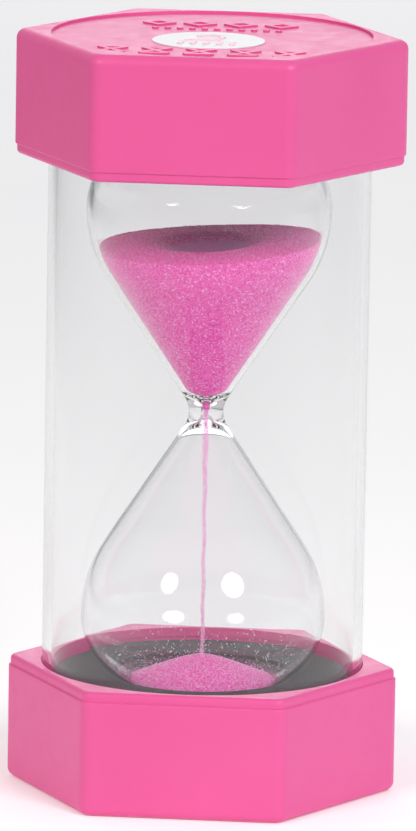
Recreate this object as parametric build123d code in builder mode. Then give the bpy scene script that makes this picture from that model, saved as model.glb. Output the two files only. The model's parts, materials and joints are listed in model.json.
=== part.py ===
from build123d import *
import math
import os

# Hand-held sand timer with hexagonal moulded ends, a clear guard tube and a blown glass bulb.
# Millimetres. The origin is the centre of the face it stands on and +Z is up. Two corners of
# the hexagon point along X, so flat sides face -Y (the front) and +Y.

# ---- driving dimensions -------------------------------------------------------------------

HEIGHT = 160.0            # from end face to end face
ACROSS_FLATS = 72.0       # of the hexagonal ends
END_HEIGHT = 26.4         # of one end, with its collar
SAND_LEVEL = 115.6        # where the upper sand meets the glass
PILE_PEAK = 27.9          # top of the heap of fallen sand
PILE_R = 15.6             # where the heap meets the glass

MID = HEIGHT / 2          # the neck's plane, about which the bulb is symmetric

# ---- hexagonal ends -----------------------------------------------------------------------

COLLAR_T = 2.0            # visible thickness of the collar plate
SHELL_H = END_HEIGHT - COLLAR_T
CORNER_R = 3.3            # the six upright corners
END_EDGE_R = 2.0          # round-over of the end face
LIP_R = 0.4               # round-over of the shell's open edge
WALL = 1.9
FLOOR_T = 2.4
PANEL_R = 33.6            # sunk round panel in the end face
PANEL_DEPTH = 0.55
RIB_TOP = 8.0             # depth from the end face at which tube and foam rest
RIB_T = 1.6
RIB_RING_RADII = (25.0, 15.5)
HUB_R = 5.0

COLLAR_INSET = 0.4        # of the collar plate from the shell's outside
COLLAR_EDGE_R = 0.9
COLLAR_BORE_R = 34.0
SPIGOT_BORE_R = 34.35     # leaves six corner tongues under the collar plate
SPIGOT_H = 4.0
FIT_GAP = 0.1             # clearance between pieces that are pushed together

# ---- label --------------------------------------------------------------------------------

LABEL_R = 11.75
LABEL_T = 0.2
LABEL_Y = -7.0            # the label sits in front of the centre
MARK_T = 0.2              # the numeral stands this far off the label
RELIEF_T = 0.35           # moulded marks stand this far off the sunk panel
STROKE = 1.2
NUMERAL_W = 5.2
NUMERAL_H = 6.6
NUMERAL_UP = 3.4          # numeral centre above the label centre
HOOK_START = 165          # degrees, the numeral's round top starts here
HOOK_TURN = -205
TICK_H = 4.2
TICK_PITCH = 2.7
TICK_COUNT = 5
TICK_UP = -4.4
ICON_W = 5.6
ICON_H = 7.0
ICON_PITCH = 9.2
ICON_COUNT = 5
ICON_Y = -24.0
DIAMOND_R = 3.6
DIAMOND_PITCH = 8.6
DIAMOND_COUNT = 4
DIAMOND_Y = 16.4
DOT_R = 0.7
DOT_PITCH = 2.6
DOT_COUNT = 11
DOT_Y = 9.4

# ---- clear guard tube, its bonds and the foam ---------------------------------------------

TUBE_R = 33.8
TUBE_WALL = 1.9
BOND_T = 1.0              # bead of adhesive between the tube's end and the ribs
FOAM_TOP = 24.0           # depth from the end face of the foam that shows
FOAM_PAD_TOP = 16.8
FOAM_HOLE_R = 12.0        # punched through the foam ring, under the end of the bulb

# ---- glass bulb: rises are measured from the neck's plane ---------------------------------

NECK_R = 3.65
NECK_CURVE_R = 5.5        # the outside flares from the neck on this arc
CONE_ANGLE = 33.4         # degrees off the axis, of the lobe's straight flank
LOBE_R = 25.7             # widest outside radius
LOBE_RISE = 43.4          # of the widest ring
END_RISE = 62.8           # of the bulb's tip
SIDE_R = 15.0             # the oval end turns over on this arc, then on a flatter one
GLASS_T = 1.15            # wall of the lobes
BORE_R = 0.8              # hole through the neck
THROAT_R = 2.3            # the hole flares on this arc
BOWL_R = 5.5              # rounded bottom of the cavity over the throat
BOWL_TURN = 35.0          # degrees

SPOUT_R = 5.4             # short filling spout at the upper tip
SPOUT_BORE_R = 3.9
SPOUT_RISE = 66.0
PLUG_HEAD_T = 1.4
PLUG_EDGE_R = 0.5
PLUG_LENGTH = 4.6

# ---- sand ---------------------------------------------------------------------------------

SAND_GAP = 0.06           # air film between sand and glass
SAND_TILT = 2.0           # degrees, the sand stands higher at +X
CRATER_R = 17.5           # hollow over the neck
CRATER_DEPTH = 3.4
STREAM_START = 0.9        # the stream leaves the funnel this far above the neck's plane
STREAM_TOP_R = 0.66
STREAM_R = 0.42
STREAM_TAPER_RISE = -16.0
PILE_KNEE = 0.55          # share of the radius at which the heap's flank is straight
PILE_FOOT_SLOPE = 0.85
GRAIN_R = 0.22
GRAIN_COUNT = 48
GRAIN_RING = (16.2, 20.0)      # where loose grains cling: inner and outer radius
GOLDEN_ANGLE = math.pi * (3 - math.sqrt(5))

os.makedirs("parts", exist_ok=True)


def save(piece, name):
    piece.label = name
    export_step(piece, f"parts/{name}.step")


def rounded_hexagon(apothem, corner_r):
    """Hexagon with two corners on X, drawn in the open sketch."""
    hexagon = RegularPolygon(apothem, 6, major_radius=False)
    fillet(hexagon.vertices(), corner_r)


def arc_step(radius, start, end):
    """Radius and rise gained on an arc whose direction turns from start to end off the axis."""
    start, end = math.radians(start), math.radians(end)
    step_r = abs(radius * (math.cos(start) - math.cos(end)))
    return step_r, abs(radius * (math.sin(start) - math.sin(end)))


def widest_arc(depth):
    """Start of the arc from the straight flank to the widest ring, at a depth in the glass."""
    step_r, step_rise = arc_step(SHOULDER_R - depth, CONE_ANGLE, 0)
    return LOBE_R - depth - step_r, MID + LOBE_RISE - step_rise


def end_arcs(depth):
    """Oval end of the upper lobe in the open line, from the widest ring to the tip."""
    side = JernArc((LOBE_R - depth, MID + LOBE_RISE), (0, 1), SIDE_R - depth, 90 - TIP_TURN)
    JernArc(side @ 1, side % 1, TIP_R - depth, TIP_TURN)


def outer_wall():
    """Outside of the upper lobe in the open line, from the neck's plane to the tip."""
    neck = JernArc((NECK_R, MID), (0, 1), NECK_CURVE_R, -CONE_ANGLE)
    flank = Line(neck @ 1, widest_arc(0))
    JernArc(flank @ 1, flank % 1, SHOULDER_R, CONE_ANGLE)
    end_arcs(0)


def inner_wall(gap=0):
    """Inside of the upper lobe in the open line, or a line that stays a gap clear of it."""
    depth = GLASS_T + gap
    bore = Line((BORE_R - gap, MID), (BORE_R - gap, MID + BORE_RISE))
    throat = JernArc(bore @ 1, (0, 1), THROAT_R + gap, -THROAT_TURN)
    bowl = JernArc(throat @ 1, throat % 1, BOWL_R - gap, BOWL_TURN)
    flank = Line(bowl @ 1, widest_arc(depth))
    JernArc(flank @ 1, flank % 1, SHOULDER_R - depth, CONE_ANGLE)
    end_arcs(depth)


def inner_floor(radius):
    """Height of the lower lobe's inside at a radius, on the flatter arc of its end."""
    return MID - END_RISE + TIP_R - math.sqrt((TIP_R - GLASS_T) ** 2 - radius**2)


# The arcs of the bulb are tangent to each other, which settles the rest of its sizes.
CONE_COS = math.cos(math.radians(CONE_ANGLE))
CONE_SIN = math.sin(math.radians(CONE_ANGLE))
CONE_SLOPE = CONE_SIN / CONE_COS
CONE_R = NECK_R + arc_step(NECK_CURVE_R, 0, CONE_ANGLE)[0]
CONE_RISE = arc_step(NECK_CURVE_R, 0, CONE_ANGLE)[1]
CONE_REACH = CONE_R + CONE_SLOPE * (LOBE_RISE - CONE_RISE) - LOBE_R
SHOULDER_R = CONE_REACH / (CONE_SLOPE * CONE_SIN - 1 + CONE_COS)
END_H = END_RISE - LOBE_RISE
TIP_R = (LOBE_R**2 + END_H**2 - 2 * LOBE_R * SIDE_R) / (2 * (END_H - SIDE_R))
TIP_TURN = math.degrees(math.asin((LOBE_R - SIDE_R) / (TIP_R - SIDE_R)))
THROAT_TURN = CONE_ANGLE + BOWL_TURN
THROAT_STEP = arc_step(THROAT_R, 0, THROAT_TURN)
BOWL_STEP = arc_step(BOWL_R, THROAT_TURN, CONE_ANGLE)
BOWL_TOP_R = BORE_R + THROAT_STEP[0] + BOWL_STEP[0]
BOWL_TOP_RISE = CONE_RISE + (BOWL_TOP_R - CONE_R + GLASS_T / CONE_COS) / CONE_SLOPE
BORE_RISE = BOWL_TOP_RISE - THROAT_STEP[1] - BOWL_STEP[1]


# ---- the two ends --------------------------------------------------------------------------

with BuildSketch() as sandglass_icon:
    with BuildLine() as icon_strokes:
        Line((-ICON_W / 2, ICON_H / 2), (ICON_W / 2, ICON_H / 2))
        Line((-ICON_W / 2, -ICON_H / 2), (ICON_W / 2, -ICON_H / 2))
        Line((-ICON_W / 2, ICON_H / 2), (ICON_W / 2, -ICON_H / 2))
        Line((ICON_W / 2, ICON_H / 2), (-ICON_W / 2, -ICON_H / 2))
    for stroke in icon_strokes.edges():
        trace(stroke, line_width=STROKE)


def relief_marks():
    """Generic marks of the mould, in the open sketch: sandglass signs, diamonds and dots."""
    with Locations((0, ICON_Y)):
        with GridLocations(ICON_PITCH, 0, ICON_COUNT, 1):
            add(sandglass_icon.sketch)
    with Locations((0, DIAMOND_Y)):
        with GridLocations(DIAMOND_PITCH, 0, DIAMOND_COUNT, 1):
            RegularPolygon(DIAMOND_R, 4)
            RegularPolygon(DIAMOND_R - STROKE * math.sqrt(2), 4, mode=Mode.SUBTRACT)
    with Locations((0, DOT_Y)):
        with GridLocations(DOT_PITCH, 0, DOT_COUNT, 1):
            Circle(DOT_R)


def make_cap_shell(side, inside, outside, inward):
    """Moulded cup: hexagonal wall, end face with a sunk panel, and ribs that carry the rest."""
    with BuildPart() as shell:
        with BuildSketch(inside):
            rounded_hexagon(ACROSS_FLATS / 2, CORNER_R)
        extrude(amount=SHELL_H)
        fillet(shell.edges().group_by(inward)[0], END_EDGE_R)
        fillet(shell.edges().group_by(inward)[-1], LIP_R)
        with BuildSketch(inside.offset(FLOOR_T)):
            rounded_hexagon(ACROSS_FLATS / 2 - WALL, CORNER_R - WALL)
        extrude(amount=SHELL_H, mode=Mode.SUBTRACT)
        with BuildSketch(inside):
            Circle(PANEL_R)
        extrude(amount=PANEL_DEPTH, mode=Mode.SUBTRACT)
        with BuildSketch(inside.offset(FLOOR_T)):
            for ring_r in RIB_RING_RADII:
                Circle(ring_r + RIB_T / 2)
                Circle(ring_r - RIB_T / 2, mode=Mode.SUBTRACT)
            Circle(HUB_R)
            with PolarLocations(ACROSS_FLATS / 4, 6, start_angle=30):
                Rectangle(ACROSS_FLATS / 2 - WALL, RIB_T)
        extrude(amount=RIB_TOP - FLOOR_T)
        with BuildSketch(outside.offset(-PANEL_DEPTH)):
            relief_marks()
        extrude(amount=RELIEF_T)
    save(shell.part, f"{side}_cap_shell")


def make_collar(side, inside, inward):
    """Ring plate that closes the shell around the tube, with six tongues in its corners."""
    with BuildPart() as collar:
        with BuildSketch(inside.offset(SHELL_H)):
            rounded_hexagon(ACROSS_FLATS / 2 - COLLAR_INSET, CORNER_R - COLLAR_INSET)
        extrude(amount=COLLAR_T)
        fillet(collar.edges().group_by(inward)[-1], COLLAR_EDGE_R)
        with BuildSketch(inside.offset(SHELL_H)):
            rounded_hexagon(ACROSS_FLATS / 2 - WALL - FIT_GAP, CORNER_R - WALL)
            Circle(SPIGOT_BORE_R, mode=Mode.SUBTRACT)
        extrude(amount=-SPIGOT_H)
        with BuildSketch(inside.offset(SHELL_H)):
            Circle(COLLAR_BORE_R)
        extrude(amount=COLLAR_T, mode=Mode.SUBTRACT)
    save(collar.part, f"{side}_collar_plate")


def make_label(side, outside):
    """White disc on the sunk panel, and the raised numeral 2 with tick bars on the disc."""
    with BuildPart() as disc:
        with BuildSketch(outside.offset(-PANEL_DEPTH)):
            with Locations((0, LABEL_Y)):
                Circle(LABEL_R)
        extrude(amount=LABEL_T)
    save(disc.part, f"{side}_label_disc")

    bowl_r = NUMERAL_W / 2
    top = NUMERAL_H / 2
    with BuildSketch() as numeral:
        with BuildLine() as spine:
            bowl = CenterArc((0, top - bowl_r), bowl_r, HOOK_START, HOOK_TURN)
            foot = Line(bowl @ 1, (-bowl_r, -top))
            Line(foot @ 1, (bowl_r, -top))
        trace(spine.line, line_width=STROKE)

    with BuildPart() as mark:
        with BuildSketch(outside.offset(LABEL_T - PANEL_DEPTH)):
            with Locations((0, LABEL_Y + NUMERAL_UP)):
                add(numeral.sketch)
            with Locations((0, LABEL_Y + TICK_UP)):
                with GridLocations(TICK_PITCH, 0, TICK_COUNT, 1):
                    SlotOverall(TICK_H, STROKE, rotation=90)
        extrude(amount=MARK_T)
    save(mark.part, f"{side}_duration_mark")


def make_foam(side, inside, section, plug_room):
    """Punched foam ring that cradles the bulb's end, and the foam disc behind it."""
    foam_r = TUBE_R - TUBE_WALL - FIT_GAP
    widest = MID - LOBE_RISE
    nest_r = LOBE_R + FIT_GAP
    with BuildPart() as ring:
        with BuildSketch(inside.offset(FOAM_PAD_TOP + FIT_GAP)):
            Circle(foam_r)
            Circle(FOAM_HOLE_R, mode=Mode.SUBTRACT)
        extrude(amount=FOAM_TOP - FOAM_PAD_TOP - FIT_GAP)
        with BuildSketch(section):
            with BuildLine():
                side_arc = JernArc((nest_r, widest), (0, -1), SIDE_R + FIT_GAP, TIP_TURN - 90)
                tip_arc = JernArc(side_arc @ 1, side_arc % 1, TIP_R + FIT_GAP, -TIP_TURN)
                Polyline(tip_arc @ 1, (0, widest), (nest_r, widest))
            make_face()
        revolve(axis=Axis.Z, mode=Mode.SUBTRACT)
    save(ring.part, f"{side}_foam_ring")

    with BuildPart() as pad:
        with BuildSketch(inside.offset(RIB_TOP + FIT_GAP)):
            Circle(foam_r)
            if plug_room:
                Circle(plug_room, mode=Mode.SUBTRACT)
        extrude(amount=FOAM_PAD_TOP - RIB_TOP - FIT_GAP)
    save(pad.part, f"{side}_foam_pad")


def make_tube_bond(side, inside):
    """Bead of adhesive that holds the tube's end on the ribs."""
    with BuildPart() as bond:
        with BuildSketch(inside.offset(RIB_TOP)):
            Circle(TUBE_R)
            Circle(TUBE_R - TUBE_WALL, mode=Mode.SUBTRACT)
        extrude(amount=BOND_T)
    save(bond.part, f"{side}_tube_bond")


for side, end_z, up in (("lower", 0, 1), ("upper", HEIGHT, -1)):
    inside = Plane(origin=(0, 0, end_z), x_dir=(1, 0, 0), z_dir=(0, 0, up))
    outside = Plane(origin=(0, 0, end_z), x_dir=(1, 0, 0), z_dir=(0, 0, -up))
    section = Plane(origin=(0, 0, end_z), x_dir=(1, 0, 0), z_dir=(0, -up, 0))
    inward = Axis((0, 0, end_z), (0, 0, up))
    make_cap_shell(side, inside, outside, inward)
    make_collar(side, inside, inward)
    make_label(side, outside)
    make_foam(side, inside, section, SPOUT_R + FIT_GAP if side == "upper" else 0)
    make_tube_bond(side, inside)

# ---- guard tube ----------------------------------------------------------------------------

with BuildPart() as outer_tube:
    with BuildSketch(Plane.XY.offset(RIB_TOP + BOND_T)):
        Circle(TUBE_R)
        Circle(TUBE_R - TUBE_WALL, mode=Mode.SUBTRACT)
    extrude(amount=HEIGHT - 2 * (RIB_TOP + BOND_T))
save(outer_tube.part, "outer_tube")

# ---- glass bulb and its plug ---------------------------------------------------------------

with BuildPart() as glass_bulb:
    with BuildSketch(Plane.XZ):
        with BuildLine():
            outer_wall()
            inner_wall()
            Line((NECK_R, MID), (BORE_R, MID))
            Line((0, MID + END_RISE), (0, MID + END_RISE - GLASS_T))
        make_face()
    revolve(axis=Axis.Z)
    mirror(about=Plane.XY.offset(MID))
    with BuildSketch(Plane.XY.offset(MID + END_RISE - GLASS_T)):
        Circle(SPOUT_R)
    extrude(amount=SPOUT_RISE - END_RISE + GLASS_T)
    with BuildSketch(Plane.XY.offset(MID + LOBE_RISE)):
        Circle(SPOUT_BORE_R)
    extrude(amount=SPOUT_RISE, mode=Mode.SUBTRACT)
save(glass_bulb.part, "glass_bulb")

with BuildPart() as fill_plug:
    with BuildSketch(Plane.XY.offset(MID + SPOUT_RISE)):
        Circle(SPOUT_R)
    extrude(amount=PLUG_HEAD_T)
    fillet(fill_plug.edges().group_by(Axis.Z)[-1], PLUG_EDGE_R)
    with BuildSketch(Plane.XY.offset(MID + SPOUT_RISE)):
        Circle(SPOUT_BORE_R - FIT_GAP)
    extrude(amount=-PLUG_LENGTH)
save(fill_plug.part, "fill_plug")

# ---- sand ----------------------------------------------------------------------------------

with BuildPart() as sand_upper:
    with BuildSketch(Plane.XZ):
        with BuildLine():
            inner_wall(SAND_GAP)
            Polyline(
                (BORE_R - SAND_GAP, MID),
                (0, MID),
                (0, MID + END_RISE - GLASS_T - SAND_GAP),
            )
        make_face()
    revolve(axis=Axis.Z)
    surface = Plane(origin=(0, 0, SAND_LEVEL), z_dir=Vector(0, 0, 1).rotate(Axis.Y, -SAND_TILT))
    split(bisect_by=surface, keep=Keep.BOTTOM)
    split(bisect_by=Plane.XY.offset(MID + STREAM_START), keep=Keep.TOP)
    dish_r = (CRATER_R**2 + CRATER_DEPTH**2) / (2 * CRATER_DEPTH)
    with Locations(surface.offset(dish_r - CRATER_DEPTH)):
        Sphere(dish_r, mode=Mode.SUBTRACT)
save(sand_upper.part, "sand_upper")

with BuildPart() as sand_stream:
    with BuildSketch(Plane.XZ):
        with BuildLine():
            Line((0, MID + STREAM_START), (STREAM_TOP_R, MID + STREAM_START))
            Line((STREAM_TOP_R, MID + STREAM_START), (STREAM_TOP_R, MID))
            Spline(
                (STREAM_TOP_R, MID),
                (STREAM_R, MID + STREAM_TAPER_RISE),
                tangents=[(0, -1), (0, -1)],
            )
            Line((STREAM_R, MID + STREAM_TAPER_RISE), (STREAM_R, PILE_PEAK))
            Line((STREAM_R, PILE_PEAK), (0, PILE_PEAK))
            Line((0, PILE_PEAK), (0, MID + STREAM_START))
        make_face()
    revolve(axis=Axis.Z)
save(sand_stream.part, "sand_stream")

with BuildPart() as sand_pile:
    with BuildSketch(Plane.XZ):
        with BuildLine():
            bed_r = TIP_R - GLASS_T - SAND_GAP
            bed = JernArc(
                (0, MID - END_RISE + TIP_R - bed_r),
                (1, 0),
                bed_r,
                math.degrees(math.asin(PILE_R / bed_r)),
            )
            fall = PILE_PEAK - (bed @ 1).Y
            Spline(
                (0, PILE_PEAK),
                (PILE_R * PILE_KNEE, PILE_PEAK - fall * PILE_KNEE),
                bed @ 1,
                tangents=[(1, 0), (PILE_R, -fall * PILE_FOOT_SLOPE)],
            )
            Line((0, PILE_PEAK), bed @ 0)
        make_face()
    revolve(axis=Axis.Z)
save(sand_pile.part, "sand_pile")

with BuildPart() as loose_grains:
    inner_ring, outer_ring = GRAIN_RING
    for number in range(GRAIN_COUNT):
        share = (number + 0.5) / GRAIN_COUNT
        radius = inner_ring + (outer_ring - inner_ring) * share
        turn = number * GOLDEN_ANGLE
        height = inner_floor(radius + GRAIN_R) + GRAIN_R + SAND_GAP
        with Locations((radius * math.cos(turn), radius * math.sin(turn), height)):
            Sphere(GRAIN_R)
save(loose_grains.part, "loose_grains")
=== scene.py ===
import json
import math

import bpy
import numpy as np
from mathutils import Matrix, Vector


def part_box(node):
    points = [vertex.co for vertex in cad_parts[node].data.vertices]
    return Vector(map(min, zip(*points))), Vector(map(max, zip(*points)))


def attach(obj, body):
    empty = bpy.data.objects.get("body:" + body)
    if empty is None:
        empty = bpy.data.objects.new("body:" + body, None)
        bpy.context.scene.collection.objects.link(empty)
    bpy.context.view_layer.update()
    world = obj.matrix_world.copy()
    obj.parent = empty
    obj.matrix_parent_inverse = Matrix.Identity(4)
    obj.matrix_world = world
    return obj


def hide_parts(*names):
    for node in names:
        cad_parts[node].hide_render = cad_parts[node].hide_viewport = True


# Two-minute sand timer: pink moulded hexagonal ends, a clear guard tube and a blown glass bulb
# with dyed glitter sand. Metres, +Z up, a flat side of the hexagon faces -Y. The ends, labels,
# plug and adhesive are the CAD pieces. Glass, foam and sand are built here on the CAD's sizes.

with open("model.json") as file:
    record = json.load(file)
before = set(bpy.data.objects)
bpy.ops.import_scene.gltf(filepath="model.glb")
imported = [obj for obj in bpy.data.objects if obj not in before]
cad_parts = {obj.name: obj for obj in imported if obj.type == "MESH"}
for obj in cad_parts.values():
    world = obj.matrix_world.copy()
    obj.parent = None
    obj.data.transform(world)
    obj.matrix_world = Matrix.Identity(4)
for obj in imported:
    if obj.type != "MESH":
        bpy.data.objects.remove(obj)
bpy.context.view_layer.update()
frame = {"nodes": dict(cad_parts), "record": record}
BODY = "root"
MM = 0.001
rng = np.random.default_rng(20)

FLOOR_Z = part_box("lower_cap_shell")[0].z
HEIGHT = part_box("upper_cap_shell")[1].z - FLOOR_Z
MID = FLOOR_Z + HEIGHT / 2

# ---- sizes of the bulb: one lobe, rises measured from the neck's plane ----------------------

NECK_R = 3.65 * MM
NECK_CURVE_R = 5.5 * MM
CONE_ANGLE = 33.4
LOBE_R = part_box("glass_bulb")[1].x
LOBE_RISE = 43.4 * MM
END_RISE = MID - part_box("glass_bulb")[0].z
SIDE_R = 15.0 * MM
GLASS_T = 1.15 * MM
BORE_R = 0.8 * MM
THROAT_R = 2.3 * MM
BOWL_R = 5.5 * MM
BOWL_TURN = 35.0
BELL_R = 2.6 * MM                   # below the neck the bore flares out without a bowl
BELL_TURN = 58.0
BELL_START = 0.4 * MM
BELL_EASE_R = 10.0 * MM
LOWER_T = 0.65 * MM                 # the lower lobe is blown thinner
SPOUT_R = 5.4 * MM
SPOUT_BORE_R = 3.9 * MM
SPOUT_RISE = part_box("glass_bulb")[1].z - MID

CONE_SIN = math.sin(math.radians(CONE_ANGLE))
CONE_COS = math.cos(math.radians(CONE_ANGLE))
CONE_SLOPE = CONE_SIN / CONE_COS
CONE_R = NECK_R + NECK_CURVE_R * (1 - CONE_COS)
CONE_RISE = NECK_CURVE_R * CONE_SIN
CONE_REACH = CONE_R + CONE_SLOPE * (LOBE_RISE - CONE_RISE) - LOBE_R
SHOULDER_R = CONE_REACH / (CONE_SLOPE * CONE_SIN - 1 + CONE_COS)
END_H = END_RISE - LOBE_RISE
TIP_R = (LOBE_R**2 + END_H**2 - 2 * LOBE_R * SIDE_R) / (2 * (END_H - SIDE_R))
TIP_TURN = math.degrees(math.asin((LOBE_R - SIDE_R) / (TIP_R - SIDE_R)))

TUBE_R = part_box("outer_tube")[1].x
TUBE_WALL = 1.9 * MM

# ---- sizes of the sand ----------------------------------------------------------------------

SAND_GAP = 0.06 * MM
SAND_LEVEL = 115.95 * MM
SAND_TILT = (0.058, 0.016)          # rise towards +X and towards +Y
SAND_SADDLE = 0.55 * MM             # the sand stands this much higher at the sides
SAND_MOUND = 0.6 * MM
SAND_R = 23.3 * MM                  # where the sand's surface meets the glass
CRATER_R = 11.8 * MM
CRATER_DEPTH = 7.2 * MM
CRATER_SOFTNESS = 0.06              # of the crater's rim, as a share of its radius
SAND_RIPPLE = 0.05 * MM
FLOW_R = 9.6 * MM                   # inside this the sand is sliding towards the neck
FUNNEL_RISE = 0.9 * MM
PILE_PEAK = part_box("sand_pile")[1].z
PILE_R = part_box("sand_pile")[1].x - 0.1 * MM
PEAK_DENT = 0.3 * MM                # where the stream lands
PEAK_DENT_R = 0.9 * MM

GRAIN = 0.13 * MM
WALL_GRAINS = 24000
TOP_GRAINS = 20000
UPPER_FLAKES = 700                  # of glitter, and as many again on the sand's surface
PILE_GRAINS = 15000
STRAY_GRAINS = 3400
CLINGING_FLAKES = 420
FALLING_GRAINS = 5200


# ---- node materials ------------------------------------------------------------------------

class Shader:
    """One procedural material or world. add() makes a node, sets its inputs and returns it."""

    def __init__(self, name, world=False):
        self.owner = (bpy.data.worlds if world else bpy.data.materials).new(name)
        self.owner.use_nodes = True
        self.tree = self.owner.node_tree
        self.tree.nodes.clear()
        self.place = self.add("TexCoord").outputs["Generated" if world else "Object"]

    def add(self, kind, inputs=None, **settings):
        node = self.tree.nodes.new("ShaderNode" + kind)
        for key, value in settings.items():
            setattr(node, key, value)
        for key, value in (inputs or {}).items():
            if isinstance(value, bpy.types.NodeSocket):
                self.tree.links.new(value, node.inputs[key])
            else:
                node.inputs[key].default_value = value
        return node

    def noise(self, scale, detail=3.0, roughness=0.5, where=None):
        inputs = {"Vector": where or self.place, "Scale": scale, "Detail": detail}
        return self.add("TexNoise", inputs | {"Roughness": roughness}).outputs["Fac"]

    def cells(self, scale, output="Distance"):
        return self.add("TexVoronoi", {"Vector": self.place, "Scale": scale}).outputs[output]

    def stretched(self, x, y, z):
        inputs = {0: self.place, 1: (x, y, z)}
        return self.add("VectorMath", inputs, operation="MULTIPLY").outputs[0]

    def ramp(self, factor, *stops):
        node = self.add("ValToRGB", {"Fac": factor})
        elements = node.color_ramp.elements
        while len(elements) < len(stops):
            elements.new(0.5)
        for element, (position, colour) in zip(elements, stops):
            element.position = position
            element.color = (*colour, 1.0)
        return node.outputs["Color"]

    def span(self, value, low, high, to_low, to_high):
        inputs = {"Value": value, "From Min": low, "From Max": high}
        inputs |= {"To Min": to_low, "To Max": to_high}
        return self.add("MapRange", inputs).outputs["Result"]

    def bump(self, height, distance, strength=1.0, normal=None):
        inputs = {"Height": height, "Distance": distance, "Strength": strength}
        if normal:
            inputs["Normal"] = normal
        return self.add("Bump", inputs).outputs["Normal"]

    def mix(self, factor, first, second):
        node = self.add("Mix", data_type="RGBA")
        for key, value in ((0, factor), (6, first), (7, second)):
            if isinstance(value, bpy.types.NodeSocket):
                self.tree.links.new(value, node.inputs[key])
            else:
                node.inputs[key].default_value = value if key == 0 else (*value, 1.0)
        return node.outputs[2]

    def switch(self, ray, shader, instead):
        """shader, but instead for one kind of ray of the Light Path node."""
        node = self.add("MixShader", {0: self.add("LightPath").outputs[ray]})
        self.tree.links.new(shader, node.inputs[1])
        self.tree.links.new(instead, node.inputs[2])
        return node.outputs[0]

    def finish(self, shader, output="OutputMaterial"):
        self.tree.links.new(shader, self.add(output).inputs["Surface"])
        return self.owner


def moulded_plastic():
    """Satin pink ABS: faint flow marks, a fine spark-eroded grain and small rubs."""
    s = Shader("pink_abs")
    flow = s.noise(26.0, 2.0)
    grain = s.noise(5200.0, 2.0)
    rubs = s.noise(240.0, 6.0, 0.7)
    inputs = {
        "Base Color": s.ramp(flow, (0.3, (0.74, 0.088, 0.30)), (0.7, (0.78, 0.100, 0.325))),
        "Roughness": s.span(rubs, 0.35, 0.7, 0.36, 0.48),
        "Normal": s.bump(flow, 0.0004, 0.25, s.bump(grain, 0.00003, 0.5)),
        "IOR": 1.46,
    }
    return s.finish(s.add("BsdfPrincipled", inputs).outputs[0])


def label_white():
    s = Shader("label_white")
    cloud = s.noise(700.0, 4.0)
    inputs = {
        "Base Color": s.ramp(cloud, (0.3, (0.71, 0.72, 0.74)), (0.7, (0.77, 0.78, 0.79))),
        "Roughness": s.span(cloud, 0.3, 0.7, 0.34, 0.5),
        "Normal": s.bump(s.noise(4200.0), 0.00002, 0.6),
    }
    return s.finish(s.add("BsdfPrincipled", inputs).outputs[0])


def mark_pink():
    s = Shader("mark_pink")
    inputs = {
        "Base Color": s.ramp(s.noise(900.0), (0.3, (0.86, 0.52, 0.66)), (0.7, (0.9, 0.58, 0.71))),
        "Roughness": 0.42,
        "Normal": s.bump(s.noise(4200.0), 0.00002, 0.6),
    }
    return s.finish(s.add("BsdfPrincipled", inputs).outputs[0])


def foam_grey():
    """Closed-cell foam: small pits, with painted shade darkening their middles, over a dull dark
    grey.
    """
    s = Shader("foam_grey")
    pits = s.cells(1900.0)
    cloud = s.noise(180.0, 4.0)
    # Painted shade: the pits are darker towards their middles, where they are deepest.
    dark = s.ramp(pits, (0.05, (0.020, 0.019, 0.021)), (0.55, (0.06, 0.058, 0.063)))
    inputs = {
        "Base Color": s.mix(s.span(cloud, 0.3, 0.7, 0.0, 0.45), dark, (0.085, 0.08, 0.088)),
        "Roughness": 0.92,
        "Normal": s.bump(pits, 0.0002, 0.8),
    }
    return s.finish(s.add("BsdfPrincipled", inputs).outputs[0])


def adhesive():
    s = Shader("tube_adhesive")
    cloud = s.noise(900.0)
    inputs = {
        "Base Color": s.ramp(cloud, (0.3, (0.72, 0.70, 0.62)), (0.7, (0.82, 0.80, 0.74))),
        "Roughness": 0.25,
        "Normal": s.bump(cloud, 0.0002, 0.5),
    }
    return s.finish(s.add("BsdfPrincipled", inputs).outputs[0])


def silicone():
    s = Shader("plug_silicone")
    cloud = s.noise(600.0)
    inputs = {
        "Base Color": s.ramp(cloud, (0.3, (0.62, 0.62, 0.58)), (0.7, (0.74, 0.74, 0.70))),
        "Roughness": 0.6,
        "Normal": s.bump(cloud, 0.0001, 0.4),
    }
    return s.finish(s.add("BsdfPrincipled", inputs).outputs[0])


ACRYLIC_IOR = 1.30                  # both below the real 1.49 and 1.47, because the
GLASS_IOR = 1.35                    # photograph's reflections on the walls are weaker
LIGHT_THROUGH = 0.99                # share of a lamp's light that passes one surface


def clear(name, ior, tint, ripple, depth):
    """Clear glass or acrylic with slow ripples. Lamps shine straight through it."""
    s = Shader(name)
    inputs = {
        "Base Color": (*tint, 1.0),
        "Roughness": 0.0,
        "IOR": ior,
        "Transmission Weight": 1.0,
        "Normal": s.bump(s.noise(1.0, 2.0, 0.5, s.stretched(*ripple)), depth),
    }
    glass = s.add("BsdfPrincipled", inputs).outputs[0]
    pale = (LIGHT_THROUGH, LIGHT_THROUGH, LIGHT_THROUGH, 1.0)
    through = s.add("BsdfTransparent", {"Color": pale}).outputs[0]
    lit = s.switch("Is Diffuse Ray", glass, through)
    return s.finish(s.switch("Is Shadow Ray", lit, through))


SAND_DARK = (0.70, 0.026, 0.33)
SAND_MAIN = (0.96, 0.082, 0.50)
SAND_LIGHT = (0.97, 0.21, 0.67)
SAND_PALE = (0.98, 0.68, 0.92)


SAND_BLURRED = (0.78, 0.20, 0.58)   # where the sand slides too fast to show its grains
FLOW_EDGE = 1.2 * MM


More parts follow.
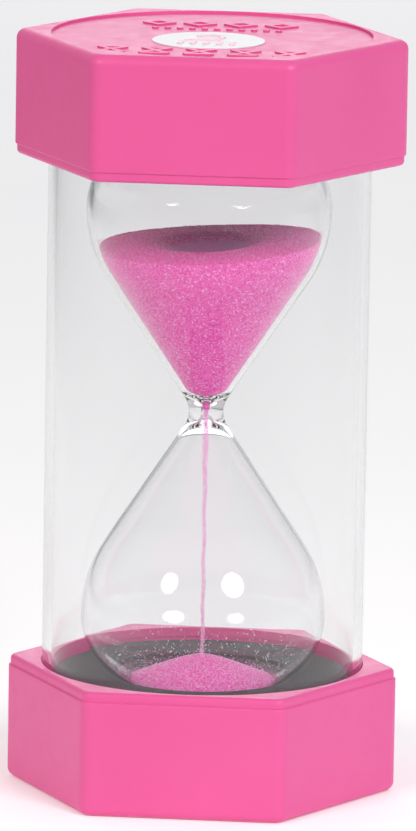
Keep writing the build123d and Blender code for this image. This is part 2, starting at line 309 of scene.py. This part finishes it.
def sand_bed():
    """The packed sand behind the loose grains: cells the size of a grain, each its own pink."""
    s = Shader("sand_bed")
    grain = s.add("TexVoronoi", {"Vector": s.place, "Scale": 4300.0})
    tone = s.add("SeparateColor", {"Color": grain.outputs["Color"]}).outputs
    still = s.ramp(tone[0], (0.0, SAND_DARK), (0.35, SAND_MAIN), (0.9, SAND_LIGHT),
                   (0.98, SAND_PALE))
    from_axis = s.add("VectorMath", {0: s.stretched(1, 1, 0)}, operation="LENGTH")
    sliding = s.span(from_axis.outputs["Value"], FLOW_R, FLOW_R - FLOW_EDGE, 0.0, 1.0)
    above = s.add("SeparateXYZ", {"Vector": s.place}).outputs["Z"]
    on_top = s.span(above, SAND_LEVEL - 7.5 * MM, SAND_LEVEL - 7.0 * MM, 0.0, 1.0)
    blurred = s.add("Math", {0: sliding, 1: on_top}, operation="MULTIPLY").outputs[0]
    inputs = {
        "Base Color": s.mix(blurred, still, SAND_BLURRED),
        "Roughness": s.span(tone[2], 0.0, 1.0, 0.35, 0.8),
        "Normal": s.bump(grain.outputs["Distance"], 0.00015, 0.8),
    }
    return s.finish(s.add("BsdfPrincipled", inputs).outputs[0])


def sand_grain(name, *stops, roughness=0.35):
    """One pink for each loose grain, faintly mottled."""
    s = Shader(name)
    island = s.add("NewGeometry").outputs["Random Per Island"]
    mottle = s.noise(9000.0, 2.0)
    inputs = {
        "Base Color": s.ramp(island, *stops),
        "Roughness": s.span(mottle, 0.3, 0.7, roughness - 0.1, roughness + 0.2),
    }
    return s.finish(s.add("BsdfPrincipled", inputs).outputs[0])


PLASTIC = moulded_plastic()
FOAM = foam_grey()
TUBE_CLEAR = clear("clear_acrylic", ACRYLIC_IOR, tint=(0.95, 0.95, 0.952),
                   ripple=(40.0, 40.0, 3.0), depth=0.00002)
BULB_CLEAR = clear("bulb_glass", GLASS_IOR, tint=(0.993, 0.995, 0.998),
                   ripple=(60.0, 60.0, 45.0), depth=0.00005)
SAND_BED = sand_bed()
SAND_GRAINS = sand_grain("sand_grains", (0.0, SAND_DARK), (0.35, SAND_MAIN), (0.9, SAND_LIGHT),
                         (0.99, SAND_PALE))
# Painted light: the heap's grains take a paler, whiter copy of the sand's pinks, standing in for
# the light that falls on the heap.
PAINTED_LIT_HEAP_GRAINS = sand_grain("painted_lit_heap_grains", (0.0, (0.67, 0.08, 0.36)), (0.4, (0.79, 0.34, 0.63)),
                         (0.8, (0.87, 0.72, 0.87)))
FALLING = sand_grain("falling_sand", (0.0, SAND_LIGHT), (0.6, SAND_PALE), (1.0, SAND_PALE))
GLITTER = sand_grain("glitter", (0.0, (0.95, 0.82, 0.93)), (1.0, (0.97, 0.95, 0.97)),
                     roughness=0.15)

FINISH = {
    "cap_plastic": PLASTIC,
    "label_white": label_white(),
    "mark_pink": mark_pink(),
    "foam_grey": FOAM,
    "tube_adhesive": adhesive(),
    "plug_rubber": silicone(),
    "clear_tube": TUBE_CLEAR,
    "bulb_glass": BULB_CLEAR,
    "sand_pink": SAND_BED,
}

for part in frame["record"]["subparts"]:
    node = frame["nodes"][part["node"]]
    node.data.materials.clear()
    node.data.materials.append(FINISH[part["material_slot"]])


# ---- mesh helpers ---------------------------------------------------------------------------

class Outline:
    """Half section drawn as a pen moves: points are (radius, height), heading in degrees."""

    def __init__(self, radius, height, heading):
        self.points = [(radius, height)]
        self.heading = math.radians(heading)

    def arc(self, radius, turn, step=2.5):
        """Turns left for a positive turn, right for a negative one."""
        count = max(2, math.ceil(abs(turn) / step))
        part = math.radians(turn) / count
        chord = 2 * radius * math.sin(abs(part) / 2)
        for _ in range(count):
            self.heading += part / 2
            self.go(chord)
            self.heading += part / 2
        return self

    def go(self, length):
        r, z = self.points[-1]
        move = (r + length * math.cos(self.heading), z + length * math.sin(self.heading))
        self.points.append(move)
        return self

    def to(self, radius, height, count=1):
        start, end = np.array(self.points[-1]), np.array((radius, height))
        for share in np.linspace(0, 1, count + 1)[1:]:
            self.points.append(tuple(start + (end - start) * share))
        return self


def lobe_line(depth, neck="outside"):
    """A lobe's wall at a depth in the glass, from the neck's plane up to the tip.

    It starts on the neck's outside, or in a bore that opens into a bowl or flares like a bell.
    """
    if neck == "outside":
        line = Outline(NECK_R, MID, 90).arc(NECK_CURVE_R, -CONE_ANGLE)
    elif neck == "bell":
        bell_slope = math.tan(math.radians(BELL_TURN))
        line = Outline(BORE_R, MID, 90).to(BORE_R, MID + BELL_START)
        line.arc(BELL_R, -BELL_TURN)
        flare_r, flare_z = line.points[-1]
        cone_r = CONE_R - depth / CONE_COS
        reach = cone_r - CONE_SLOPE * CONE_RISE - flare_r + bell_slope * (flare_z - MID)
        join = reach / (bell_slope - CONE_SLOPE)
        straight = (MID + join - flare_z) / math.cos(math.radians(BELL_TURN))
        ease = BELL_TURN - CONE_ANGLE
        line.go(straight - BELL_EASE_R * math.tan(math.radians(ease / 2)))
        line.arc(BELL_EASE_R, ease, 1.0)
    else:
        bore = BORE_R - (depth - GLASS_T)
        throat = THROAT_R + (depth - GLASS_T)
        bowl = BOWL_R - (depth - GLASS_T)
        turn = CONE_ANGLE + BOWL_TURN
        test = Outline(bore, 0, 90).arc(throat, -turn).arc(bowl, BOWL_TURN)
        top_r, climb = test.points[-1]
        top = CONE_RISE + (top_r - CONE_R + depth / CONE_COS) / CONE_SLOPE
        line = Outline(bore, MID, 90).to(bore, MID + top - climb, 3)
        line.arc(throat, -turn).arc(bowl, BOWL_TURN)
    shoulder = SHOULDER_R - depth
    start_r = LOBE_R - depth - shoulder * (1 - CONE_COS)
    start_z = MID + LOBE_RISE - shoulder * CONE_SIN
    line.to(start_r, start_z, 24)
    line.arc(shoulder, CONE_ANGLE).arc(SIDE_R - depth, 90 - TIP_TURN)
    line.arc(TIP_R - depth, TIP_TURN)
    line.points[-1] = (0.0, line.points[-1][1])
    return line.points


def flipped(points):
    """The same line in the lower lobe."""
    return [(r, 2 * MID - z) for r, z in points]


def mesh_object(name, points, faces, material, smooth=True, sharp=40.0):
    mesh = bpy.data.meshes.new(name)
    mesh.from_pydata(np.asarray(points, float).tolist(), [], faces)
    mesh.validate()
    mesh.polygons.foreach_set("use_smooth", [smooth] * len(mesh.polygons))
    if smooth:
        mesh.set_sharp_from_angle(angle=math.radians(sharp))
    mesh.materials.append(material)
    obj = bpy.data.objects.new(name, mesh)
    bpy.context.scene.collection.objects.link(obj)
    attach(obj, BODY)
    return obj


def lathe(points, segments, closed=False):
    """Vertices and faces of a line of (radius, height) turned about the axis, outside first."""
    turns = np.linspace(0, 2 * math.pi, segments, endpoint=False)
    verts, rings = [], []
    for radius, height in points:
        if radius < 1e-7:
            rings.append([len(verts)] * segments)
            verts.append((0.0, 0.0, height))
            continue
        rings.append(list(range(len(verts), len(verts) + segments)))
        ring = np.column_stack((np.cos(turns) * radius, np.sin(turns) * radius,
                                np.full(segments, height)))
        verts.extend(map(tuple, ring))
    pairs = list(zip(rings, rings[1:]))
    if closed:
        pairs.append((rings[-1], rings[0]))
    faces = []
    for low, high in pairs:
        for i in range(segments):
            j = (i + 1) % segments
            corners = dict.fromkeys((low[i], low[j], high[j], high[i]))
            if len(corners) > 2:
                faces.append(tuple(corners))
    return np.array(verts), faces


def random_turns(count):
    """Random rotation matrices."""
    q = rng.normal(size=(count, 4))
    w, x, y, z = (q / np.linalg.norm(q, axis=1, keepdims=True)).T
    rows = (
        (1 - 2 * (y * y + z * z), 2 * (x * y - z * w), 2 * (x * z + y * w)),
        (2 * (x * y + z * w), 1 - 2 * (x * x + z * z), 2 * (y * z - x * w)),
        (2 * (x * z - y * w), 2 * (y * z + x * w), 1 - 2 * (x * x + y * y)),
    )
    return np.moveaxis(np.array(rows), 2, 0)


GRAIN_CORNERS = np.array(
    [(1, 0, 0), (-1, 0, 0), (0, 1, 0), (0, -1, 0), (0, 0, 1), (0, 0, -1)], float
)
GRAIN_FACES = np.array(
    [(0, 2, 4), (2, 1, 4), (1, 3, 4), (3, 0, 4), (2, 0, 5), (1, 2, 5), (3, 1, 5), (0, 3, 5)]
)


def grains(name, centres, sizes, material, flat=1.0):
    """Loose grains, each an uneven eight-sided crystal, or a flake where flat is small."""
    count = len(centres)
    shape = GRAIN_CORNERS * rng.uniform(0.7, 1.15, (count, 6, 1))
    shape += rng.normal(0, 0.16, (count, 6, 3))
    shape *= np.array((1.0, 1.0, flat))
    turned = np.einsum("nij,nkj->nki", random_turns(count), shape)
    reach = np.linalg.norm(turned, axis=2).max(1)
    points = turned * (sizes / reach)[:, None, None] + centres[:, None, :]
    faces = (GRAIN_FACES[None] + 6 * np.arange(count)[:, None, None]).reshape(-1, 3)
    return mesh_object(name, points.reshape(-1, 3), faces.tolist(), material, smooth=False)


# ---- glass ---------------------------------------------------------------------------------

def make_bulb():
    """Blown bulb: two lobes joined by a thick neck, with the filling spout on the upper tip."""
    outer = lobe_line(0)
    inner = lobe_line(GLASS_T, "bowl")
    lower = flipped(outer)[::-1]
    wall = [p for p in outer if not (p[0] < SPOUT_R and p[1] > MID + LOBE_RISE)]
    cavity = [p for p in inner if not (p[0] < SPOUT_BORE_R and p[1] > MID + LOBE_RISE)]
    spout_top = MID + SPOUT_RISE
    last_points = 40                # from about each line's widest ring to its tip
    end = np.array(outer[-last_points:])
    foot = float(np.interp(SPOUT_R, end[::-1, 0], end[::-1, 1]))
    roof = np.array(inner[-last_points:])
    mouth = float(np.interp(SPOUT_BORE_R, roof[::-1, 0], roof[::-1, 1]))
    spout = [(SPOUT_R, foot), (SPOUT_R, spout_top), (SPOUT_BORE_R, spout_top),
             (SPOUT_BORE_R, mouth)]
    drop = flipped(lobe_line(LOWER_T, "bell"))
    section = lower + wall[1:] + spout + cavity[::-1] + drop[1:]
    points, faces = lathe(section, segments=224)
    bulb = mesh_object("bulb", points, faces, BULB_CLEAR)
    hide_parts("glass_bulb")


def make_tube():
    """Extruded guard tube with its cut ends just broken by a fine bevel."""
    low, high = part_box("outer_tube")
    bevel = 0.15 * MM
    bore = TUBE_R - TUBE_WALL
    rows = 40
    section = [(TUBE_R, z) for z in np.linspace(low.z + bevel, high.z - bevel, rows)]
    section += [(TUBE_R - bevel, high.z), (bore + bevel, high.z)]
    section += [(bore, z) for z in np.linspace(high.z - bevel, low.z + bevel, rows)]
    section += [(bore + bevel, low.z), (TUBE_R - bevel, low.z)]
    points, faces = lathe(section, segments=256, closed=True)
    tube = mesh_object("guard_tube", points, faces, TUBE_CLEAR)
    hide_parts("outer_tube")


# ---- foam ----------------------------------------------------------------------------------

FOAM_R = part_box("lower_foam_ring")[1].x
FOAM_HOLE_R = 12.0 * MM
FOAM_EDGE_R = 0.5 * MM
FOAM_CELL = 0.05 * MM
NEST_GAP = 0.1 * MM


def roughened(points, amount, keep):
    """Random pits along each point's radius and height, never past the keep radius."""
    out = points + rng.uniform(-amount, amount, points.shape)
    radius = np.hypot(out[:, 0], out[:, 1])
    shrink = np.where(radius > keep, keep / np.maximum(radius, 1e-9), 1.0)
    out[:, :2] *= shrink[:, None]
    return out


def foam_piece(side, kind, section):
    """Die-cut foam, drawn for the lower end and turned over for the upper one."""
    low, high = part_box(f"{side}_foam_{kind}")
    if side == "upper":
        section = flipped(section)[::-1]
    points, faces = lathe(section, segments=288, closed=True)
    points = roughened(points, FOAM_CELL, FOAM_R)
    points[:, 2] = np.clip(points[:, 2], low.z, high.z)
    piece = mesh_object(f"{side}_foam_{kind}_cut", points, faces, FOAM)
    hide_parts(f"{side}_foam_{kind}")


def make_foam():
    """Two rings cut to cradle the bulb, and the pads behind them, one holed for the spout."""
    low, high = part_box("lower_foam_ring")
    line = Outline(FOAM_R, low.z, 90).to(FOAM_R, high.z - FOAM_EDGE_R, 8)
    line.arc(FOAM_EDGE_R, 90, 30)
    wall = [(r + NEST_GAP, z) for r, z in flipped(lobe_line(0)) if z < high.z]
    nest_r = max(r for r, z in wall)
    line.to(nest_r + FOAM_EDGE_R, high.z, 14)
    line.heading = math.pi
    line.arc(FOAM_EDGE_R, 70, 35)
    for r, z in wall:
        if r > FOAM_HOLE_R and z < high.z - FOAM_EDGE_R:
            line.points.append((r, z - NEST_GAP))
    line.to(FOAM_HOLE_R, low.z, 3).to(FOAM_R - FOAM_EDGE_R, low.z, 10)
    for side in ("lower", "upper"):
        foam_piece(side, "ring", line.points)
    low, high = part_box("lower_foam_pad")
    for side, hole in (("lower", 1.0 * MM), ("upper", SPOUT_R + NEST_GAP)):
        pad = Outline(FOAM_R, low.z, 90).to(FOAM_R, high.z, 8)
        pad.to(hole, high.z, 24).to(hole, low.z, 6).to(FOAM_R - FOAM_EDGE_R, low.z, 24)
        foam_piece(side, "pad", pad.points)


# ---- sand ----------------------------------------------------------------------------------

SAND_WALL = np.array(lobe_line(GLASS_T + SAND_GAP, "bowl"))
WIDEST = int(SAND_WALL[:, 0].argmax())


def polar(radius, turn, height):
    """Points from radii, turns about the axis and heights."""
    return np.column_stack((radius * np.cos(turn), radius * np.sin(turn), height))


def heaped_faces(rows, segments, inside_out=False):
    """Faces of stacked rings of points, closed by one more point at each end of the stack."""
    first, last = rows * segments, rows * segments + 1
    top = (rows - 1) * segments
    faces = []
    for row in range(rows - 1):
        for i in range(segments):
            j = (i + 1) % segments
            a, b = row * segments, (row + 1) * segments
            faces.append((a + i, a + j, b + j, b + i))
    for i in range(segments):
        j = (i + 1) % segments
        faces.append((first, j, i))
        faces.append((last, top + i, top + j))
    if inside_out:
        faces = [(face[0], *reversed(face[1:])) for face in faces]
    return faces


def wall_radius(height, inset=0.0):
    """Inside radius of the upper lobe at a height, less an inset."""
    return np.interp(height, SAND_WALL[:WIDEST, 1], SAND_WALL[:WIDEST, 0]) - inset


def surface_height(x, y):
    """Top of the upper sand: a slight tilt, a soft crater over the neck and low ripples."""
    rho = np.hypot(x, y)
    level = SAND_LEVEL + x * SAND_TILT[0] + y * SAND_TILT[1]
    level += SAND_SADDLE * (x**2 - y**2) / SAND_R**2 + SAND_MOUND * (1 - (rho / SAND_R) ** 2)
    inward = (CRATER_R - rho) / CRATER_R
    soft = CRATER_SOFTNESS
    bowl = CRATER_DEPTH * soft * np.log1p(np.exp(np.clip(inward / soft, -30, 30)))
    ripple = SAND_RIPPLE * (np.sin(x * 410 + y * 170) + np.sin(y * 530 - x * 260 + 1.0))
    return level - bowl + ripple * np.clip(1 - (rho / SAND_R) ** 4, 0, 1)


UPPER_SEGMENTS = 288
UPPER_TURNS = np.linspace(0, 2 * math.pi, UPPER_SEGMENTS, endpoint=False)
UPPER_START = MID + FUNNEL_RISE


def sand_rim():
    """Heights at which the upper sand's surface meets the glass, one for each turn."""
    rim = np.full(UPPER_SEGMENTS, SAND_LEVEL)
    for _ in range(6):
        radius = wall_radius(rim, GRAIN)
        rim = surface_height(radius * np.cos(UPPER_TURNS), radius * np.sin(UPPER_TURNS))
    return rim


def around(turn, values):
    """Values known at each of the bed's turns, read at any turn."""
    return np.interp(turn, np.append(UPPER_TURNS, 2 * math.pi), np.append(values, values[0]))


def make_upper_bed(rim, edge):
    """The packed sand as one solid: up the wall of the lobe, then in over its surface."""
    wall_rows, top_rows = 110, 56
    least_r, inward, upward = 0.3 * MM, 0.07 * MM, 0.05 * MM
    rings = []
    for share in np.linspace(0, 1, wall_rows) ** 0.9:
        height = UPPER_START + (rim - UPPER_START) * share
        radius = np.maximum(wall_radius(height, GRAIN * min(1, 6 * share)), least_r)
        rings.append(polar(radius, UPPER_TURNS, height))
    for share in np.linspace(1, 0, top_rows, endpoint=False)[1:]:
        x, y = edge * share * np.cos(UPPER_TURNS), edge * share * np.sin(UPPER_TURNS)
        rings.append(np.column_stack((x, y, surface_height(x, y))))
    points = np.concatenate(rings)
    jitter = rng.uniform(-inward, 0.0, len(points))
    radius = np.maximum(np.hypot(points[:, 0], points[:, 1]), 1e-6)
    points[:, :2] *= (1 + jitter / radius)[:, None]
    points[:, 2] += rng.uniform(-upward, upward, len(points))
    ends = [(0, 0, UPPER_START), (0, 0, surface_height(0.0, 0.0))]
    faces = heaped_faces(len(rings), UPPER_SEGMENTS)
    bed = mesh_object("upper_sand_bed", np.vstack((points, ends)), faces, SAND_BED,
                      sharp=180)
    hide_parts("sand_upper")


def make_wall_grains(rim):
    """Grains pressed against the glass."""
    clear_of_funnel = 1.5 * MM
    share = np.sqrt(rng.uniform(0.0, 1.0, WALL_GRAINS))
    turn = rng.uniform(0, 2 * math.pi, WALL_GRAINS)
    size = rng.uniform(0.6, 1.0, WALL_GRAINS) * GRAIN
    top_here = around(turn, rim)
    height = UPPER_START + clear_of_funnel + (top_here - UPPER_START - clear_of_funnel) * share
    centres = polar(wall_radius(height, 0) - size * 1.25, turn, height)
    grains("upper_sand_wall_grains", centres, size, SAND_GRAINS)


def make_top_grains(edge):
    """Grains on the surface, but none where the sand slides towards the neck."""
    inside = ((FLOW_R - 0.6 * MM) / SAND_R) ** 2
    share = np.sqrt(rng.uniform(inside, 1.0, TOP_GRAINS))
    turn = rng.uniform(0, 2 * math.pi, TOP_GRAINS)
    size = rng.uniform(0.6, 1.1, TOP_GRAINS) * GRAIN
    radius = (around(turn, edge) - 0.15 * MM) * share
    x, y = radius * np.cos(turn), radius * np.sin(turn)
    height = surface_height(x, y) + rng.uniform(-0.1, 0.8, TOP_GRAINS) * size
    grains("upper_sand_top_grains", np.column_stack((x, y, height)), size, SAND_GRAINS)


def make_upper_glitter():
    """Pale flakes, mostly small, against the glass and on the surface."""
    height = rng.uniform(UPPER_START + 6 * MM, SAND_LEVEL - 1 * MM, UPPER_FLAKES)
    turn = rng.uniform(0, 2 * math.pi, UPPER_FLAKES)
    size = (0.05 + 0.12 * rng.uniform(0, 1, UPPER_FLAKES) ** 4) * MM
    on_wall = polar(wall_radius(height, 0) - size, turn, height)
    share = np.sqrt(rng.uniform(0.1, 1.0, UPPER_FLAKES))
    rho = (wall_radius(SAND_LEVEL, GRAIN) - 0.35 * MM) * share
    x, y = rho * np.cos(turn), rho * np.sin(turn)
    on_top = np.column_stack((x, y, surface_height(x, y) + size * 0.8))
    both = np.concatenate((on_wall, on_top))
    grains("upper_sand_glitter", both, np.concatenate((size, size)), GLITTER, 0.45)


def make_upper_sand():
    rim = sand_rim()
    edge = wall_radius(rim, GRAIN)
    make_upper_bed(rim, edge)
    make_wall_grains(rim)
    make_top_grains(edge)
    make_upper_glitter()


def pile_height(rho):
    """The heap of fallen sand: rounded at the peak, with nearly straight flanks to its foot."""
    share = np.clip(rho / PILE_R, 0, 1)
    foot = bed_height(PILE_R)
    fall = PILE_PEAK - foot
    drop = share**1.5 * (1.3 - 0.3 * share)
    dent = PEAK_DENT * np.exp(-((rho / PEAK_DENT_R) ** 2))
    return foot + fall * (1 - drop) - dent - 0.1 * MM


def bed_height(rho):
    """Inside of the lower lobe's end, just clear of the glass."""
    inner = TIP_R - LOWER_T - SAND_GAP
    return MID - END_RISE + TIP_R - np.sqrt(inner**2 - np.minimum(rho, PILE_R * 1.4) ** 2)


def make_pile():
    segments, top_rows, under_rows = 224, 64, 12
    foot, film, upward = PILE_R * 0.985, 0.05 * MM, 0.06
    turns = np.linspace(0, 2 * math.pi, segments, endpoint=False)
    wobble = 1 + 0.02 * np.sin(3 * turns + 0.7) + 0.015 * np.sin(5 * turns)
    rings = []
    for share in np.linspace(0, 1, top_rows + 1)[1:]:
        reach = foot * share * (1 + (wobble - 1) * share * (1 - share) * 2)
        height = np.maximum(pile_height(reach), bed_height(reach) + film)
        rings.append(polar(reach, turns, height))
    for share in np.linspace(1, 0, under_rows, endpoint=False)[1:]:
        rho = np.full(segments, foot * share)
        rings.append(polar(rho, turns, bed_height(rho)))
    points = np.concatenate(rings)
    loose = segments * (top_rows - 1)
    points[:loose, 2] += rng.uniform(-upward, upward, loose) * MM
    ends = [(0, 0, pile_height(0.0)), (0, 0, bed_height(0.0))]
    faces = heaped_faces(len(rings), segments, inside_out=True)
    heap = mesh_object("pile_bed", np.vstack((points, ends)), faces, SAND_BED,
                       sharp=180)
    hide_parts("sand_pile")

    rho = PILE_R * 0.98 * np.sqrt(rng.uniform(0, 1, PILE_GRAINS))
    turn = rng.uniform(0, 2 * math.pi, PILE_GRAINS)
    size = rng.uniform(0.6, 1.1, PILE_GRAINS) * GRAIN
    lift = rng.uniform(-0.1, 0.7, PILE_GRAINS) * size
    height = np.maximum(pile_height(rho) + lift, bed_height(rho) + size)
    # The heap's grains wear the paler pinks, which is painted light.
    grains("pile_grains", polar(rho, turn, height), size, PAINTED_LIT_HEAP_GRAINS)


LOWER_WALL = flipped(lobe_line(LOWER_T + SAND_GAP, "bell"))
LOWER_END = np.array([p for p in LOWER_WALL if p[1] < MID - LOBE_RISE])[::-1]
RESTING = 1.15                      # a grain's centre is this many sizes above the glass


def end_height(rho):
    """Inside of the lower lobe's end, out to its widest ring."""
    return np.interp(rho, LOWER_END[:, 0], LOWER_END[:, 1])


def make_strays():
    """Grains that rolled past the heap's foot, further at -X. A fifth of them is glitter."""
    turn = rng.uniform(0, 2 * math.pi, STRAY_GRAINS)
    reach = (1.3 - 0.8 * np.cos(turn)) * MM
    rho = np.minimum(PILE_R * 0.97 + rng.exponential(reach), 21.5 * MM)
    size = rng.uniform(0.5, 1.0, STRAY_GRAINS) * GRAIN
    centres = polar(rho, turn, end_height(rho) + size * RESTING)
    pink = rng.uniform(size=STRAY_GRAINS) < 0.8
    strays = grains("stray_grains", centres[pink], size[pink], SAND_GRAINS)
    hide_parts("loose_grains")
    grains("stray_glitter", centres[~pink], size[~pink] * 1.1, GLITTER, 0.45)


def make_clinging_glitter():
    """Flakes that cling to the glass round the heap, mostly behind it."""
    rho = rng.uniform(PILE_R - 1 * MM, 23.5 * MM, CLINGING_FLAKES)
    turn = rng.normal(0.5, 0.28, CLINGING_FLAKES) * math.pi
    size = rng.uniform(0.12, 0.25, CLINGING_FLAKES) * MM
    centres = polar(rho, turn, end_height(rho + size) + size * RESTING)
    grains("clinging_glitter", centres, size, GLITTER, 0.6)


STREAM_DROPS = np.array((-1.0, 0.5, 4.0, 9.0, 20.0, 52.0)) * MM
STREAM_RADII = np.array((0.66, 0.66, 1.00, 0.78, 0.50, 0.56)) * MM
STREAM_SWAY = 0.10 * MM


def make_stream():
    """Falling grains: packed in the neck, then a thin column that sways a little."""
    count = FALLING_GRAINS
    top = MID + FUNNEL_RISE
    fall = rng.uniform(0, 1, count) ** 1.4
    height = top - (top - pile_height(0.0)) * fall
    drop = MID - height
    width = np.interp(drop, STREAM_DROPS, STREAM_RADII)
    reach = width * np.sqrt(rng.uniform(0, 1, count)) * rng.uniform(0.6, 1.0, count)
    turn = rng.uniform(0, 2 * math.pi, count)
    sway = STREAM_SWAY * np.clip(drop / (20 * MM), 0, 1)
    x = reach * np.cos(turn) + sway * np.sin(height * 620)
    y = reach * np.sin(turn) + sway * np.cos(height * 480)
    size = rng.uniform(0.07, 0.13, count) * MM
    stream = grains("falling_grains", np.column_stack((x, y, height)), size, FALLING)
    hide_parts("sand_stream")


make_tube()
make_bulb()
make_foam()
make_upper_sand()
make_pile()
make_strays()
make_clinging_glitter()
make_stream()


# ---- stage, lights and camera --------------------------------------------------------------

CAMERA_AZIMUTH = 5.98
CAMERA_ELEVATION = 10.624
CAMERA_DISTANCE = 1.9005
CAMERA_ROLL = 0.947
CAMERA_LENS = 392.1                 # mm, on a sensor 36 mm high
CAMERA_SENSOR = 36.0
CAMERA_SHIFT = (0.0023, -0.0054)

FLOOR_SIZE = 8.0
FLOOR_DROP = 0.00005                # keeps the floor clear of the object's underside
# Painted shade and painted light on the floor: grey on the camera's side and far to the left, a
# glow on the white part.
FLOOR_PAINTED_SHADE = (0.42, 0.42, 0.423)    # on the camera's side and far to the left
FLOOR_GLOW = 0.20                   # of the white part, behind and beside the object
FLOOR_FADE_Y = (-0.40, -0.05)
FLOOR_FADE_X = (-0.68, -0.35)


def towards(azimuth, elevation):
    """Unit vector from the object at an azimuth from the -Y side and an elevation."""
    a, e = math.radians(azimuth), math.radians(elevation)
    return Vector((math.sin(a) * math.cos(e), -math.cos(a) * math.cos(e), math.sin(e)))


def painted_light_floor():
    """Pale floor, white and faintly glowing as painted light, but for a greyer part nearer the
    camera that is painted shade.
    """
    s = Shader("painted_light_floor")
    cloud = s.noise(3.0, 2.0)
    white = s.ramp(cloud, (0.3, (0.90, 0.90, 0.905)), (0.7, (0.93, 0.93, 0.93)))
    across, depth, _ = s.add("SeparateXYZ", {"Vector": s.place}).outputs
    behind = s.span(depth, *FLOOR_FADE_Y, 0.0, 1.0)
    near = s.span(across, *FLOOR_FADE_X, 0.0, 1.0)
    # lit is the painted-light part of the floor; outside it the floor is painted shade.
    lit = s.add("Math", {0: behind, 1: near}, operation="MULTIPLY").outputs[0]
    inputs = {
        "Base Color": s.mix(lit, FLOOR_PAINTED_SHADE, white),
        "Roughness": 0.9,
        "Specular IOR Level": 0.1,
        "Emission Color": (1.0, 1.0, 1.0, 1.0),
        "Emission Strength": s.span(lit, 0.0, 1.0, 0.0, FLOOR_GLOW),
    }
    return s.finish(s.add("BsdfPrincipled", inputs).outputs[0])


def make_floor():
    mesh = bpy.data.meshes.new("floor")
    low, high, z = -FLOOR_SIZE, FLOOR_SIZE, FLOOR_Z - FLOOR_DROP
    corners = [(low, low, z), (high, low, z), (high, high, z), (low, high, z)]
    mesh.from_pydata(corners, [], [(0, 1, 2, 3)])
    mesh.materials.append(painted_light_floor())
    floor = bpy.data.objects.new("floor", mesh)
    bpy.context.scene.collection.objects.link(floor)


def soft_box(name, azimuth, elevation, distance, width, height, radiance, tint=(1, 1, 1)):
    """Area lamp of a given brightness, aimed at the middle of the object."""
    way = towards(azimuth, elevation)
    data = bpy.data.lights.new(name, "AREA")
    data.shape = "ELLIPSE"
    data.size, data.size_y = width, height
    data.energy = radiance * (width * height * math.pi / 4) * math.pi
    data.color = tint
    lamp = bpy.data.objects.new(name, data)
    bpy.context.scene.collection.objects.link(lamp)
    lamp.location = Vector((0, 0, MID)) + way * distance
    lamp.rotation_euler = way.to_track_quat("Z", "Y").to_euler()
    lamp.visible_camera = False


def make_world(front, overhead, sides):
    """Pale studio walls and ceiling, dimmer low down on the camera's side."""
    s = Shader("studio", world=True)
    _, away, up = s.add("SeparateXYZ", {"Vector": s.place}).outputs
    ceiling = s.span(up, 0.35, 0.75, 0.0, overhead - front)
    walls = s.span(away, -0.6, 0.1, 0.0, sides - front)
    added = s.add("Math", {0: ceiling, 1: walls}, operation="MAXIMUM").outputs[0]
    strength = s.add("Math", {0: added, 1: front}, operation="ADD").outputs[0]
    inputs = {"Color": (0.96, 0.97, 1.0, 1.0), "Strength": strength}
    bpy.context.scene.world = s.finish(s.add("Background", inputs).outputs[0], "OutputWorld")


def make_camera():
    data = bpy.data.cameras.new("camera")
    data.sensor_fit = "VERTICAL"
    data.sensor_height = CAMERA_SENSOR
    data.lens = CAMERA_LENS
    data.shift_x, data.shift_y = CAMERA_SHIFT
    data.clip_end = 20.0
    camera = bpy.data.objects.new("camera", data)
    bpy.context.scene.collection.objects.link(camera)
    back = towards(CAMERA_AZIMUTH, CAMERA_ELEVATION)
    camera.location = Vector((0, 0, MID)) + back * CAMERA_DISTANCE
    roll = Matrix.Rotation(math.radians(CAMERA_ROLL), 3, "Z")
    camera.rotation_euler = (back.to_track_quat("Z", "Y").to_matrix() @ roll).to_euler()
    bpy.context.scene.camera = camera


make_floor()
make_world(front=0.22, overhead=0.34, sides=0.62)
soft_box("back_sweep", CAMERA_AZIMUTH + 178, elevation=14, distance=2.4,
         width=1.7, height=1.0, radiance=1.7)
soft_box("left_box", CAMERA_AZIMUTH - 38, elevation=31.5, distance=1.2,
         width=0.34, height=0.38, radiance=16.6, tint=(1.0, 0.88, 0.82))
soft_box("right_box", CAMERA_AZIMUTH + 33, elevation=31.5, distance=1.2,
         width=0.45, height=0.46, radiance=15.0)
make_camera()

scene = bpy.context.scene
scene.view_settings.view_transform = "Standard"
scene.cycles.max_bounces = 24
scene.cycles.transmission_bounces = 20
scene.cycles.transparent_max_bounces = 32
